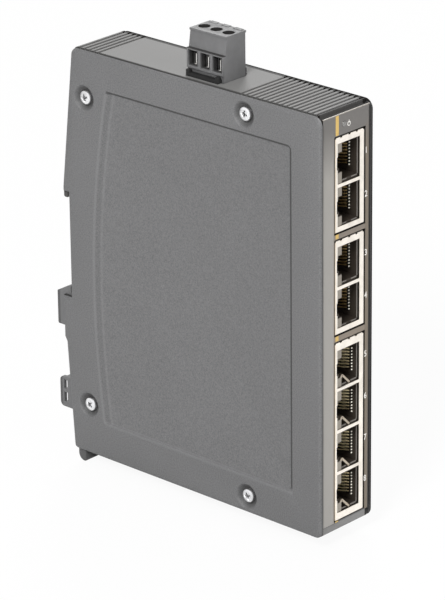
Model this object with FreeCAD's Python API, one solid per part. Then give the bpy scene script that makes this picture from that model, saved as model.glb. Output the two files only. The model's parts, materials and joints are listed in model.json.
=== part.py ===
import FreeCAD, Part

import math
import os

os.makedirs("parts", exist_ok=True)

# A narrow eight-socket network switch that clips on a 35 mm mounting rail.
# Frame: X to the right, Y to the rear, Z up. The origin is the centre of the flat
# face that rests on the rail, so the front of the case lies at minus case_depth.
# All sizes are in millimetres.

# Sockets: one gang is a row of shielded sockets on one pitch, stacked down the front.
port_pitch = 13.97
ports_in_gang = (2, 2, 4)
gang_end = (0.9, 1.0, 1.5)
gang_gaps = (3.1, 3.3)
head_room = 8.9
foot_room = 4.14
gang_left_band = 5.63
gang_right_band = 2.35
gang_width = 13.22
gang_depth = 20.6
shield_wall = 0.25
shield_front = 0.9
port_opening = 11.7
port_throat = 7.0
port_depth = 13.8
port_right_rim = 2.25
key_width = 6.4
key_depth = 1.2
latch_key_width = 4.0
latch_key_depth = 1.9
contacts_in_port = 8
contact_pitch = 1.02
contact_width = 0.42
contact_thick = 0.3
contact_reach = 2.5
contact_start = 4.3
contact_tip = 10.0
contact_pocket = 1.2
contact_pocket_width = 8.6
jack_rear_wall = 1.6
body_set_back = 0.65
shield_window_rim = 0.4
shield_tab_width = 2.3
shield_tab_set = 0.35
shield_tab_height = 0.4
shield_tab_count = 4
shield_notch = 0.9
gang_clearance = 0.45
label_clearance = 0.55

# Case: two side covers, with a moulded ring between them.
case_depth = 107.0
rail_centre_height = 71.0
cover_wall = 1.6
cover_lip = 0.8
cover_lip_depth = 1.6
cover_corner = 3.2
cover_low_corner = 1.6
cover_top_lean = 2.9
cover_low_out = 2.6
cover_edge_chamfer = 0.35
cover_rear_chamfer = 1.0
ring_inset = 0.5
ring_top_drop = 0.1
front_step = 1.4
front_step_drop = 1.3
ring_wall = 1.8
ring_top_wall = 2.6
front_set_back = 1.1
label_thick = 0.4
label_bottom_band = 3.6
label_top_inset = 1.2
fit_gap = 0.3
slide_gap = 0.2

# Pressed field in each cover.
field_depth = 0.7
field_front = 12.1
field_bottom = 13.0
field_top = 11.5
field_corner = 1.6
field_rear = 11.4
field_rear_top = 18.4
field_rear_bottom = 14.5
field_slope = 2.4
field_step = 0.25

# Cover screws and the bosses that take them.
screw_front = 31.1
screw_front_top = 5.85
screw_front_bottom = 5.85
screw_rear_top = 15.8
screw_rear_top_ahead = 1.1
screw_rear_bottom = 17.4
screw_shank_d = 2.5
screw_head_d = 5.6
screw_head_h = 1.4
screw_length = 8.0
screw_bore_gap = 0.05
dish_d = 8.6
dish_floor_d = 6.0
dish_depth = 1.5
dish_floor = 1.4
dish_rim = 0.4
boss_d = 6.6
boss_web = 2.4
round_sides = 24
screw_sides = 16
hidden_sides = 10

# Cooling ribs on the top and the bottom.
rib_pitch = 2.0
rib_groove = 1.0
rib_depth = 1.0
front_ribs = 16
front_rib_start = 3.0
rear_ribs = 5
rear_rib_inset = 5.2

# Rail, its hook and its latch.
rail_size = 35.0
rail_sheet = 1.0
rail_play = 0.3
hook_drop = 2.3
hook_thick = 1.7
ring_face_slope = 4.0
hook_relief = 0.3
cover_hook_out = 2.5
lug_out = 3.5
lug_top = 0.7
lug_bottom = 15.0
latch_travel = 4.5
latch_plate = 3.2
latch_channel = 4.0
latch_nose_out = 7.3
latch_nose_height = 11.7
latch_lip = 2.3
latch_lip_thick = 1.0
latch_ramp_drop = 2.8
latch_foot_drop = 4.3
latch_flange = 1.2
latch_flange_out = 7.2
latch_flange_drop = 3.3
latch_flange_height = 10.5
latch_flange_corner = 1.5
latch_core_wall = 1.6
latch_nose_wall = 1.4
latch_shelf_thick = 2.6
latch_foot_corner = 2.4
latch_window = 3.4
latch_window_gap = 1.2
latch_window_depth = 1.5
latch_window_inset = 1.7
ledge_gap = 0.9
ledge_height = 9.7
ledge_reach = 3.0
ledge_thick = 1.4
driver_eye_width = 6.5
driver_eye_height = 1.8
spring_d = 2.8
spring_wire = 0.45
spring_turns = 6
spring_steps = 8
spring_sides = 5
spring_drop = 8.1
spring_peg_thick = 1.6
spring_length = 15.0
spring_end_gap = 0.6
spring_slot_gap = 0.5

# Circuit board.
board_thick = 1.6
board_seam = 0.03
board_front = 4.0
board_rear = 11.8
board_edge_gap = 1.0
board_screw_d = 2.0
board_screw_head_d = 3.8
board_screw_head_h = 1.4
board_screw_length = 6.0
board_lug_d = 5.6
board_lug_length = 7.0
board_lug_front = 38.5
board_lug_rear = 17.0

# Supply terminal on the top.
plug_centre = 51.1
pole_pitch = 5.0
pole_count = 3
plug_width = 15.0
plug_left_reach = 5.4
plug_right_reach = 4.75
plug_top = 14.3
plug_seat = 7.8
plug_ledge = 8.4
plug_upper_step = 1.0
plug_crown_lean = 0.8
plug_lip = 0.4
plug_lip_thick = 0.7
plug_pull = 14.0
plug_step = 0.5
plug_bump_height = 0.45
plug_bump_width = 3.0
plug_bump_depth = 1.5
header_wall = 1.3
header_rim = 1.9
header_rim_low = 0.9
header_ear = 1.2
header_end_set = 0.9
header_depth = 10.4
header_floor = 1.4
header_leg = 6.0
header_leg_thick = 1.0
pole_from_board = 3.0
window_width = 3.9
window_low = 2.8
window_high = 7.8
cage_wall = 0.7
cage_width = 4.0
cage_front_reach = 3.0
cage_rear_reach = 2.5
cage_low = 2.2
cage_height = 6.6
cage_floor = 1.0
cage_travel = 1.5
cage_gap = 0.1
clamp_bar_height = 6.2
clamp_bar_width = 2.3
clamp_strip = 0.4
strip_gap = 0.2
strip_pin_gap = 0.3
strip_end = 1.0
clamp_head_d = 4.1
clamp_slot_width = 0.7
clamp_slot_depth = 0.8
clamp_head_h = 1.55
clamp_hole_d = 4.7
clamp_shank_d = 2.5
clamp_ledge = 1.0
clamp_head_sink = 1.3
clamp_bore_gap = 0.05
pin_side = 1.0
pin_top = -0.6
pin_leg_height = 2.2

# Parts on the board: distance ahead of the board's rear edge, height above the bottom, size.
chip_side = 14.0
chip_height = 1.5
chip_lead = 1.2
chip_lead_thick = 0.3
chip_y = 33.0
chip_z = 64.4
magnetic_length = 15.0
magnetic_width = 12.0
magnetic_height = 5.2
magnetic_from_gang = 3.3
crystal_size = (11.0, 4.4, 3.4)
crystal_y = 17.0
crystal_z = 64.0
inductor_size = (10.0, 10.0, 5.0)
inductor_y = 26.0
inductor_z = 98.0
inductor_core_d = 7.4
regulator_size = (6.5, 9.5, 2.3)
regulator_y = 12.0
regulator_z = 98.0
fuse_size = (7.4, 3.2, 2.9)
fuse_y = 24.0
fuse_z = 111.0
capacitor_d = 8.0
capacitor_height = 11.0
capacitor_y = (8.0, 20.0)
capacitor_z = 84.0
led_size = (3.0, 1.8, 1.6)
led_from_gang = 3.87
led_drop = 4.8
led_pipe_d = 1.8

front_y = -case_depth
bottom_z = -rail_centre_height
gang_heights = [n * port_pitch + 2.0 * e for n, e in zip(ports_in_gang, gang_end)]
case_height = head_room + sum(gang_heights) + sum(gang_gaps) + foot_room
top_z = bottom_z + case_height
ring_width = gang_left_band + gang_width + gang_right_band
case_width = ring_width + 2.0 * cover_wall
half = case_width / 2.0
inner_x = ring_width / 2.0
gang_x0 = gang_left_band - inner_x
rail_half = rail_size / 2.0
ring_top = top_z - ring_top_drop
ring_bottom = bottom_z + ring_inset
ring_front = front_y + front_set_back
board_face = gang_x0 - board_seam
board_x = board_face - board_thick
board_back_y = -board_rear
pole_x = board_face + pole_from_board
plug_left = pole_x - plug_left_reach
plug_right = pole_x + plug_right_reach
plug_upper_left = plug_left + plug_upper_step
plug_crown_left = plug_upper_left + plug_crown_lean
cage_front = pole_x - cage_front_reach
cage_rear = pole_x + cage_rear_reach
dish_slope = (dish_d - dish_floor_d) / 2.0 / dish_depth
pad_r = dish_d / 2.0 - dish_slope * cover_wall + dish_rim
screw_rear = latch_channel + pad_r + fit_gap / 2.0
shelf_z = -rail_half - slide_gap
nose_low = shelf_z - latch_nose_height
ledge_high = nose_low - latch_travel - ledge_gap
ledge_low = ledge_high - ledge_height
flange_high = ledge_low - latch_flange_drop
flange_low = flange_high - latch_flange_height
spring_top = shelf_z - spring_drop
peg_low = spring_top - spring_end_gap - spring_length - spring_peg_thick


# Drawing helpers.
def block(x0, x1, y0, y1, z0, z1):
    corner = FreeCAD.Vector(x0, y0, z0)
    return Part.makeBox(x1 - x0, y1 - y0, z1 - z0, corner)


def place(axis, at, u, v):
    if axis == "x":
        return FreeCAD.Vector(at, u, v)
    if axis == "y":
        return FreeCAD.Vector(u, at, v)
    return FreeCAD.Vector(u, v, at)


def polygon(axis, at, u, v, radius, sides):
    turns = [2.0 * math.pi * (i + 0.5) / sides for i in range(sides)]
    points = [place(axis, at, u + radius * math.cos(a), v + radius * math.sin(a)) for a in turns]
    return Part.makePolygon(points + points[:1])


def frustum(axis, start, end, u, v, radius, end_radius, sides):
    """A many-sided tapered plug between two radii."""
    low = polygon(axis, start, u, v, radius, sides)
    high = polygon(axis, end, u, v, end_radius, sides)
    return Part.makeLoft([low, high], True, True)


def pin(axis, start, end, u, v, radius, sides):
    """A many-sided pin whose corners lie on the radius."""
    face = Part.Face(polygon(axis, start, u, v, radius, sides))
    return face.extrude(place(axis, end - start, 0, 0))


def bore(axis, start, end, u, v, radius, sides):
    """A many-sided hole whose flats lie on the radius."""
    return pin(axis, start, end, u, v, radius / math.cos(math.pi / sides), sides)


def rounded_wire(axis, at, corners):
    """A closed wire through (u, v, radius) corners, each rounded by its radius."""
    count = len(corners)
    ends = []
    for i in range(count):
        u, v, r = corners[i]
        pu, pv, _ = corners[i - 1]
        nu, nv, _ = corners[(i + 1) % count]
        to_prev = FreeCAD.Vector(pu - u, pv - v, 0).normalize()
        to_next = FreeCAD.Vector(nu - u, nv - v, 0).normalize()
        here = FreeCAD.Vector(u, v, 0)
        if r <= 0:
            ends.append((here, here, None))
            continue
        angle = to_prev.getAngle(to_next)
        cut = r / math.tan(angle / 2.0)
        bisector = (to_prev + to_next).normalize()
        centre = here + bisector * (r / math.sin(angle / 2.0))
        middle = centre - bisector * r
        ends.append((here + to_prev * cut, here + to_next * cut, middle))
    edges = []
    for i in range(count):
        first, last, middle = ends[i]
        if middle is not None:
            arc = [place(axis, at, p.x, p.y) for p in (first, middle, last)]
            edges.append(Part.Arc(*arc).toShape())
        following = ends[(i + 1) % count][0]
        if (following - last).Length > 1e-6:
            line = [place(axis, at, p.x, p.y) for p in (last, following)]
            edges.append(Part.makeLine(*line))
    return Part.Wire(edges)


def prism(axis, start, end, corners):
    """Extrude a rounded outline from start to end along the axis."""
    full = [c if len(c) == 3 else (c[0], c[1], 0.0) for c in corners]
    face = Part.Face(rounded_wire(axis, start, full))
    return face.extrude(place(axis, end - start, 0, 0))


def strip_outline(points, thick):
    """Outline of a bent strip whose middle line runs through the points."""
    left = []
    right = []
    for i in range(len(points)):
        here = FreeCAD.Vector(points[i][0], points[i][1], 0)
        before = FreeCAD.Vector(*points[max(i - 1, 0)], 0)
        after = FreeCAD.Vector(*points[min(i + 1, len(points) - 1)], 0)
        inward = (here - before).normalize() if i > 0 else (after - here).normalize()
        outward = (after - here).normalize() if i < len(points) - 1 else inward
        n1 = FreeCAD.Vector(-inward.y, inward.x, 0)
        n2 = FreeCAD.Vector(-outward.y, outward.x, 0)
        mitre = (n1 + n2).normalize()
        reach = (thick / 2.0) / mitre.dot(n1)
        left.append(here + mitre * reach)
        right.append(here - mitre * reach)
    return [(p.x, p.y) for p in left + right[::-1]]


def save(name, shapes):
    shape = shapes[0] if len(shapes) == 1 else Part.makeCompound(shapes)
    shape.exportStep("parts/" + name + ".step")


# Places of the gangs and the sockets down the front.
def gang_spans():
    spans = []
    high = top_z - head_room
    for i, height in enumerate(gang_heights):
        spans.append((high - height, high))
        high -= height + (gang_gaps[i] if i < len(gang_gaps) else 0.0)
    return spans


def port_centres(gang):
    low, high = gang_spans()[gang]
    middle = (low + high) / 2.0
    count = ports_in_gang[gang]
    return [middle + port_pitch * ((count - 1) / 2.0 - i) for i in range(count)]


# Side covers: flat plates that share one outline, with a lip, a field and four dishes.
def cover_corners():
    lug_low = -rail_half - lug_bottom
    return [
        (front_y, bottom_z, cover_corner),
        (front_y, top_z, cover_corner),
        (-cover_top_lean, top_z, cover_corner),
        (cover_hook_out, rail_half + 1.5, 0.0),
        (cover_hook_out, rail_half, 0.0),
        (0.0, rail_half, 0.0),
        (0.0, -rail_half - lug_top, 0.0),
        (lug_out, -rail_half - lug_top, 0.0),
        (lug_out, lug_low, 0.0),
        (cover_low_out, lug_low - 1.5, 0.0),
        (cover_low_out - 0.7, ledge_low, 0.0),
        (0.1, bottom_z, cover_low_corner),
    ]


def field_wire(at, inset, slope):
    low = bottom_z + field_bottom + inset
    high = top_z - field_top - inset
    front = front_y + field_front + inset
    rear_low = -field_rear_bottom - slope
    rear_high = -field_rear_top - slope
    bulge = -field_rear - slope
    r = field_corner
    middle_z = (low + high) / 2.0
    s = r * (1.0 - math.sqrt(0.5))
    corner_a = [(front + r, low), (front + s, low + s), (front, low + r)]
    corner_b = [(front, high - r), (front + s, high - s), (front + r, high)]
    rear_arc = [(rear_high, high), (bulge, middle_z), (rear_low, low)]

    def arc(points):
        return Part.Arc(*[place("x", at, u, v) for u, v in points]).toShape()

    def line(a, b):
        return Part.makeLine(place("x", at, *a), place("x", at, *b))

    edges = [arc(corner_a), line(corner_a[2], corner_b[0]), arc(corner_b)]
    edges += [line(corner_b[2], rear_arc[0]), arc(rear_arc), line(rear_arc[2], corner_a[0])]
    return Part.Wire(edges)


def cover_screw_places():
    rear = -screw_rear
    front = front_y + screw_front
    return [
        (rear - screw_rear_top_ahead, top_z - screw_rear_top),
        (rear, bottom_z + screw_rear_bottom),
        (front, top_z - screw_front_top),
        (front, bottom_z + screw_front_bottom),
    ]


def left_cover():
    plate = prism("x", -half, -inner_x, cover_corners())
    outer = [e for e in plate.Edges if all(abs(v.X + half) < 1e-6 for v in e.Vertexes)]
    rear = [e for e in outer if min(v.Y for v in e.Vertexes) > -screw_rear]
    plate = plate.makeChamfer(cover_rear_chamfer, rear)
    sharp = [e for e in plate.Edges if all(abs(v.X + half) < 1e-6 for v in e.Vertexes)]
    rest = [e for e in sharp if min(v.Y for v in e.Vertexes) < -screw_rear]
    plate = plate.makeChamfer(cover_edge_chamfer, rest)
    pad_x = -half + dish_depth + dish_floor
    for y, z in cover_screw_places():
        plate = plate.fuse(block(-inner_x, pad_x, y - pad_r, y + pad_r, z - pad_r, z + pad_r))
    ledge_y = -latch_channel + slide_gap + latch_plate + slide_gap
    ledge_end = ledge_y + ledge_thick
    ledge = block(-inner_x, -inner_x + ledge_reach, ledge_y, ledge_end, ledge_low, ledge_high)
    plate = plate.fuse(ledge)
    lip_x = -half + cover_lip
    deep = cover_lip_depth
    plate = plate.cut(block(lip_x, 0, front_y - 1, front_y + deep, bottom_z - 1, top_z + 1))
    plate = plate.cut(block(lip_x, 0, front_y - 1, lug_out, top_z - deep, top_z + 1))
    plate = plate.cut(block(lip_x, 0, front_y - 1, lug_out, bottom_z - 1, bottom_z + deep))
    outer_wire = field_wire(-half - 0.001, 0.0, 0.0)
    floor_wire = field_wire(-half + field_depth, field_step, field_slope)
    plate = plate.cut(Part.makeLoft([outer_wire, floor_wire], True, True))
    for y, z in cover_screw_places():
        floor_x = -half + dish_depth
        dish = frustum("x", -half, floor_x, y, z, dish_d / 2.0, dish_floor_d / 2.0, round_sides)
        plate = plate.cut(dish)
        hole = screw_shank_d / 2.0 + screw_bore_gap
        plate = plate.cut(bore("x", -half, pad_x, y, z, hole, hidden_sides))
    return plate


def mirrored(shape):
    return shape.mirror(FreeCAD.Vector(0, 0, 0), FreeCAD.Vector(1, 0, 0))


def cover_screws():
    screws = []
    seat = -half + dish_depth
    crown = seat - screw_head_h
    shoulder = seat - screw_head_h * 0.55
    radius = screw_head_d / 2.0
    for y, z in cover_screw_places():
        rim = pin("x", shoulder, seat, y, z, radius, screw_sides)
        dome = frustum("x", shoulder, crown, y, z, radius, radius * 0.72, screw_sides)
        shank = pin("x", seat, seat + screw_length, y, z, screw_shank_d / 2.0, hidden_sides)
        screws.append(rim.fuse([dome, shank]).removeSplitter())
    return screws


# Case ring: top with its ribs, front with the socket cut-outs, bottom, rear with the hook.
def ring_corners():
    slot = rail_sheet + rail_play
    hook_rear = slot + hook_thick
    tip = rail_half - hook_drop
    roof = rail_half + slide_gap
    face_low = -rail_half + latch_lip + slide_gap
    sill = -rail_half + slide_gap / 2.0
    return [
        (ring_front, ring_bottom, 1.0),
        (ring_front, ring_top, 1.0),
        (-cover_top_lean - 0.4, ring_top, 2.0),
        (hook_rear, rail_half + 1.5, 0.0),
        (hook_rear, tip, 0.6),
        (slot, tip, 0.3),
        (slot, roof, 0.0),
        (-hook_relief, roof, 0.0),
        (-hook_relief, tip - slide_gap, 0.0),
        (0.0, tip - slide_gap, 0.0),
        (0.0, face_low, 0.0),
        (-hook_relief, face_low, 0.0),
        (-hook_relief, sill, 0.0),
        (-latch_channel, sill, 0.0),
        (-latch_channel, ring_bottom, 0.0),
    ]


def ring_hollow():
    low = ring_bottom + ring_wall
    high = ring_top - ring_top_wall
    front = ring_front + ring_wall
    face = -ring_wall - hook_relief
    sill = -rail_half + slide_gap / 2.0 + ring_wall
    return [
        (front, low),
        (front, high),
        (-cover_top_lean - 0.4 - ring_wall, high),
        (face, rail_half + ring_face_slope),
        (face, sill),
        (-latch_channel - ring_wall, sill),
        (-latch_channel - ring_wall, low),
    ]


def boss_span():
    return half - dish_depth - dish_floor


def board_screw_places():
    front = front_y + board_lug_front
    rear = -board_lug_rear
    inset = ring_wall + board_lug_d / 2.0 - 0.6
    low = ring_bottom + inset
    high = ring_top - ring_top_wall - board_lug_d / 2.0 + 0.6
    return [(front, high), (rear, high), (front, low), (rear, low)]


def gang_cutouts(y0, y1, gap):
    cutouts = []
    for low, high in gang_spans():
        x0 = gang_x0 - gap
        x1 = gang_x0 + gang_width + gap
        top = high + shield_tab_height + gap
        cutouts.append(block(x0, x1, y0, y1, low - gap, top))
    return cutouts


def rib_grooves(z_face, direction):
    z0 = min(z_face, z_face + direction * rib_depth)
    z1 = max(z_face, z_face + direction * rib_depth)
    starts = [front_y + front_rib_start + rib_pitch * i for i in range(front_ribs)]
    starts += [-rear_rib_inset - rib_groove - rib_pitch * i for i in range(rear_ribs)]
    return [block(-half, half, y, y + rib_groove, z0, z1) for y in starts]


def led_place():
    return gang_x0 + led_from_gang, top_z - led_drop


def header_x_span():
    gap = slide_gap / 2.0
    return plug_left - gap - header_wall, plug_right + gap + header_wall


def case_ring():
    ring = prism("x", -inner_x, inner_x, ring_corners())
    ring = ring.cut(prism("x", -half, half, ring_hollow()))
    boss_x = boss_span()
    for y, z in cover_screw_places():
        ring = ring.fuse(pin("x", -boss_x, boss_x, y, z, boss_d / 2.0, hidden_sides))
    web_half = boss_web / 2.0
    filled = prism("x", -half, half, ring_corners())
    for y, z in cover_screw_places():
        if y < front_y / 2.0:
            end = ring_top - ring_top_wall / 2.0 if z > 0 else ring_bottom + ring_wall / 2.0
            web = block(-boss_x, boss_x, y - web_half, y + web_half, min(z, end), max(z, end))
        else:
            web = block(-boss_x, boss_x, y, 0, z - web_half, z + web_half)
        ring = ring.fuse(web.common(filled))
    pad = pad_r + fit_gap / 2.0
    for y, z in cover_screw_places():
        for side in (-1, 1):
            x0 = boss_x if side > 0 else -half
            x1 = x0 + half - boss_x
            ring = ring.cut(block(x0, x1, y - pad, y + pad, z - pad, z + pad))
    for y, z in board_screw_places():
        lug_end = board_face + board_lug_length
        ring = ring.fuse(pin("x", board_face, lug_end, y, z, board_lug_d / 2.0, hidden_sides))
        hole = screw_bore_gap + board_screw_d / 2.0
        end = board_face + board_screw_length
        ring = ring.cut(bore("x", board_face, end, y, z, hole, hidden_sides))
    depth = screw_length - dish_floor + 0.6
    for y, z in cover_screw_places():
        hole = screw_shank_d / 2.0 + screw_bore_gap
        ring = ring.cut(bore("x", -boss_x, -boss_x + depth, y, z, hole, hidden_sides))
        ring = ring.cut(bore("x", boss_x - depth, boss_x, y, z, hole, hidden_sides))
    for cutout in gang_cutouts(ring_front - 1, ring_front + ring_wall + 1, gang_clearance):
        ring = ring.cut(cutout)
    for groove in rib_grooves(ring_top, -1) + rib_grooves(ring_bottom, 1):
        ring = ring.cut(groove)
    x0, x1 = header_x_span()
    y0, y1 = header_y_span()
    gap = slide_gap
    under = ring_top - ring_top_wall - 1
    ring = ring.cut(block(x0 - gap, x1 + gap, y0 - gap, y1 + gap, under, top_z))
    y0, y1 = plug_y_span()
    ring = ring.cut(block(plug_left - gap, plug_right + gap, y0 - gap, y1 + gap, under, top_z))
    x, z = led_place()
    hole = led_pipe_d / 2.0 + screw_bore_gap
    ring = ring.cut(bore("y", ring_front - 1, ring_front + ring_wall + 1, x, z, hole, hidden_sides))
    step_z = ring_top - front_step_drop
    ring = ring.cut(block(-half, half, ring_front - 1, ring_front + front_step, step_z, top_z))
    return ring.fuse(spring_peg()).removeSplitter()


def spring_peg():
    reach = -latch_channel + slide_gap + latch_plate * 0.85
    width = spring_d / 2.0 + spring_slot_gap - slide_gap
    high = peg_low + spring_peg_thick
    return block(-width, width, -latch_channel - ring_wall / 2.0, reach, peg_low, high)


def front_label():
    low = bottom_z + label_bottom_band
    plate = block(-inner_x, inner_x, ring_front - label_thick, ring_front, low, top_z - label_top_inset)
    for cutout in gang_cutouts(ring_front - 1, ring_front + 1, label_clearance):
        plate = plate.cut(cutout)
    x, z = led_place()
    hole = led_pipe_d / 2.0 + screw_bore_gap
    return plate.cut(bore("y", ring_front - 1, ring_front + 1, x, z, hole, hidden_sides))


# Socket gangs: a folded shield, a moulded body and a set of spring contacts each.
def port_shapes(z, y0, y1):
    right = gang_x0 + gang_width - port_right_rim
    left = right - port_throat
    main = block(left, right, y0, y1, z - port_opening / 2.0, z + port_opening / 2.0)
    key_x = left - key_depth
    key = block(key_x, left + 0.1, y0, y1, z - key_width / 2.0, z + key_width / 2.0)
    deep_x = key_x - latch_key_depth
    deep = block(deep_x, key_x + 0.1, y0, y1, z - latch_key_width / 2.0, z + latch_key_width / 2.0)
    return main.fuse([key, deep])


def jack_shield(gang):
    low, high = gang_spans()[gang]
    x0 = gang_x0
    x1 = gang_x0 + gang_width
    y0 = front_y + shield_front
    y1 = y0 + gang_depth
    t = shield_wall
    shell = block(x0, x1, y0, y1, low, high)
    shell = shell.cut(block(x0 - 1, x1 - t, y0 + t, y1 - t, low + t, high - t))
    strip = block(x0, x0 + t, y0, front_y + board_front - slide_gap, low, high)
    shell = shell.fuse(strip)
    board_gap = block(x0 - 1, board_face, front_y + board_front - slide_gap, y1 + 1, low - 1, high + 1)
    shell = shell.cut(board_gap)
    right = x1 - port_right_rim
    left = right - port_throat
    edge = left - shield_tab_width
    set_y = y0 + t + shield_tab_set
    for z in port_centres(gang):
        up = z + port_opening / 2.0
        down = z - port_opening / 2.0
        slot = port_shapes(z, y0 - 1, y0 + t + 0.01)
        window = block(edge, right + shield_window_rim, y0 - 1, y0 + t + 0.01, down, up)
        shell = shell.cut(window.fuse(slot))
        for z0, z1 in ((z + key_width / 2.0, up), (down, z - key_width / 2.0)):
            tab = block(edge - t, left, set_y - t, set_y, z0, z1)
            fold = block(edge - t, edge, y0, set_y, z0, z1)
            shell = shell.fuse([tab, fold])
    step = gang_width / shield_tab_count
    wide = (step - shield_notch) / 2.0
    for i in range(shield_tab_count):
        x = x0 + step * (i + 0.5)
        shell = shell.fuse(block(x - wide, x + wide, y0, y0 + 2.0, high, high + shield_tab_height))
    return shell.removeSplitter()


def body_front():
    return front_y + shield_front + shield_wall + body_set_back


def jack_body(gang):
    low, high = gang_spans()[gang]
    t = shield_wall + 0.05
    y0 = body_front()
    y1 = y0 + port_depth + jack_rear_wall
    x1 = gang_x0 + gang_width - t
    body = block(gang_x0 + t, x1, y0, y1, low + t, high - t)
    right = gang_x0 + gang_width - port_right_rim
    pocket_x = right + contact_pocket
    for z in port_centres(gang):
        body = body.cut(port_shapes(z, y0 - 1, y0 + port_depth))
        half_pocket = contact_pocket_width / 2.0
        start = front_y + shield_front + contact_start - 0.8
        pocket = block(right - 0.1, pocket_x, start, y1 + 1, z - half_pocket, z + half_pocket)
        body = body.cut(pocket)
    return body


def jack_contacts(gang):
    y0 = front_y + shield_front
    right = gang_x0 + gang_width - port_right_rim
    wall_x = right + contact_pocket - contact_thick / 2.0 - 0.05
    rear = body_front() + port_depth + jack_rear_wall + 0.5
    line = [
        (right - contact_reach, y0 + contact_tip),
        (wall_x, y0 + contact_start),
        (wall_x, rear),
        (board_face, rear),
    ]
    outline = strip_outline(line, contact_thick)
    contacts = []
    for z in port_centres(gang):
        for i in range(contacts_in_port):
            low = z + contact_pitch * (i - (contacts_in_port - 1) / 2.0) - contact_width / 2.0
            contacts.append(prism("z", low, low + contact_width, outline))
    return contacts


# Circuit board and what it carries.
def circuit_board():
    low = ring_bottom + ring_wall + board_edge_gap
    high = ring_top - ring_top_wall - board_edge_gap
    board = block(board_x, board_face, front_y + board_front, -board_rear, low, high)
    for y, z in cover_screw_places():
        clear = boss_d / 2.0 + 0.4
        board = board.cut(bore("x", board_x - 1, board_face + 1, y, z, clear, hidden_sides))
    for y, z in board_screw_places():
        hole = board_screw_d / 2.0 + screw_bore_gap
        board = board.cut(bore("x", board_x - 1, board_face + 1, y, z, hole, hidden_sides))
    y0, y1 = plug_y_span()
    notch = header_bottom() - 0.4
    board = board.cut(block(board_x - 1, board_face + 1, y0 - 0.4, y1 + 0.4, notch, top_z))
    return board


def board_part(size, ahead, z):
    long_y, long_z, height = size
    y0 = board_back_y - ahead - long_y / 2.0
    z0 = bottom_z + z - long_z / 2.0
    return block(board_face, board_face + height, y0, y0 + long_y, z0, z0 + long_z)


def switch_chip():
    body = board_part((chip_side, chip_side, chip_height), chip_y, chip_z)
    foot = chip_side + 2.0 * chip_lead
    leads = board_part((foot, chip_side * 0.85, chip_lead_thick), chip_y, chip_z)
    more = board_part((chip_side * 0.85, foot, chip_lead_thick), chip_y, chip_z)
    return body.fuse([leads, more]).removeSplitter()


def magnetic_places():
    places = []
    for gang, count in enumerate(ports_in_gang):
        centres = port_centres(gang)
        for i in range(0, count, 2):
            places.append((centres[i] + centres[i + 1]) / 2.0)
    return places


def magnetics(z):
    gang_back = front_y + shield_front + gang_depth
    ahead = board_back_y - gang_back - magnetic_from_gang - magnetic_width / 2.0
    body = board_part((magnetic_width, magnetic_length, magnetic_height), ahead, z - bottom_z)
    foot = (magnetic_width + 2.0 * chip_lead, magnetic_length * 0.9, chip_lead_thick)
    feet = board_part(foot, ahead, z - bottom_z)
    return body.fuse(feet).removeSplitter()


def inductor():
    base = board_part((inductor_size[0], inductor_size[1], inductor_size[2] * 0.25), inductor_y, inductor_z)
    y = board_back_y - inductor_y
    z = bottom_z + inductor_z
    core = pin("x", board_face, board_face + inductor_size[2], y, z, inductor_core_d / 2.0, round_sides)
    return base.fuse(core).removeSplitter()


def capacitor(y):
    x1 = board_face + capacitor_height
    z = bottom_z + capacitor_z
    return pin("x", board_face, x1, board_back_y - y, z, capacitor_d / 2.0, round_sides)


def power_led():
    x, z = led_place()
    low = z - led_size[1] / 2.0
    y0 = front_y + board_front + 1.0
    return block(board_face, x + led_pipe_d / 2.0, y0, y0 + led_size[0], low, low + led_size[1])


def light_pipe():
    x, z = led_place()
    y1 = front_y + board_front + 1.0 - 0.1
    stem = pin("y", ring_front - label_thick - 0.1, y1, x, z, led_pipe_d / 2.0, hidden_sides)
    collar = pin("y", ring_front + ring_wall, y1, x, z, led_pipe_d / 2.0 + 0.5, hidden_sides)
    return stem.fuse(collar).removeSplitter()


def board_screws():
    screws = []
    for y, z in board_screw_places():
        head_x = board_x - board_screw_head_h
        head = pin("x", head_x, board_x, y, z, board_screw_head_d / 2.0, hidden_sides)
        end = board_face + board_screw_length - 0.4
        shank = pin("x", board_x, end, y, z, board_screw_d / 2.0, hidden_sides)
        screws.append(head.fuse(shank).removeSplitter())
    return screws


# Supply terminal: a header in the top of the case and the plug that stands in it.
def plug_y_span():
    middle = front_y + plug_centre
    return middle - plug_width / 2.0, middle + plug_width / 2.0


def header_y_span():
    y0, y1 = plug_y_span()
    return y0 + header_end_set, y1 - header_end_set


def header_bottom():
    return top_z + header_rim - header_depth - header_floor


def pole_places():
    middle = front_y + plug_centre
    return [middle + pole_pitch * (i - (pole_count - 1) / 2.0) for i in range(pole_count)]


def terminal_header():
    x0, x1 = header_x_span()
    y0, y1 = header_y_span()
    rim = top_z + header_rim
    low = header_bottom()
    shell = block(x0, x1, y0, y1, low, rim)
    w = header_wall
    floor = low + header_floor
    shell = shell.cut(block(x0 + w + plug_step, x1 - w, y0 - 1, y1 + 1, floor, rim + 1))
    shell = shell.cut(block(x0 + w, x1 - w, y0 - 1, y1 + 1, top_z + header_rim_low, rim + 1))
    ear = header_ear
    shell = shell.cut(block(x0 - 1, x1 + 1, y0 + ear, y1 - ear, top_z + header_rim_low, rim + 1))
    for y in (y0, y1 - header_leg_thick):
        leg = block(board_face, x1, y, y + header_leg_thick, low - header_leg, low)
        shell = shell.fuse(leg)
    for y in pole_places():
        hole = pin_side / 2.0 + 0.03
        shell = shell.cut(block(pole_x - hole, pole_x + hole, y - hole, y + hole, low - 1, low + header_floor + 1))
    return shell.removeSplitter()


def header_pins():
    pins = []
    s = pin_side / 2.0
    leg = header_bottom() - pin_leg_height
    for y in pole_places():
        up = block(pole_x - s, pole_x + s, y - s, y + s, leg - s, top_z + pin_top)
        across = block(board_face, pole_x, y - s, y + s, leg - s, leg + s)
        pins.append(up.fuse(across).removeSplitter())
    return pins


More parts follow.
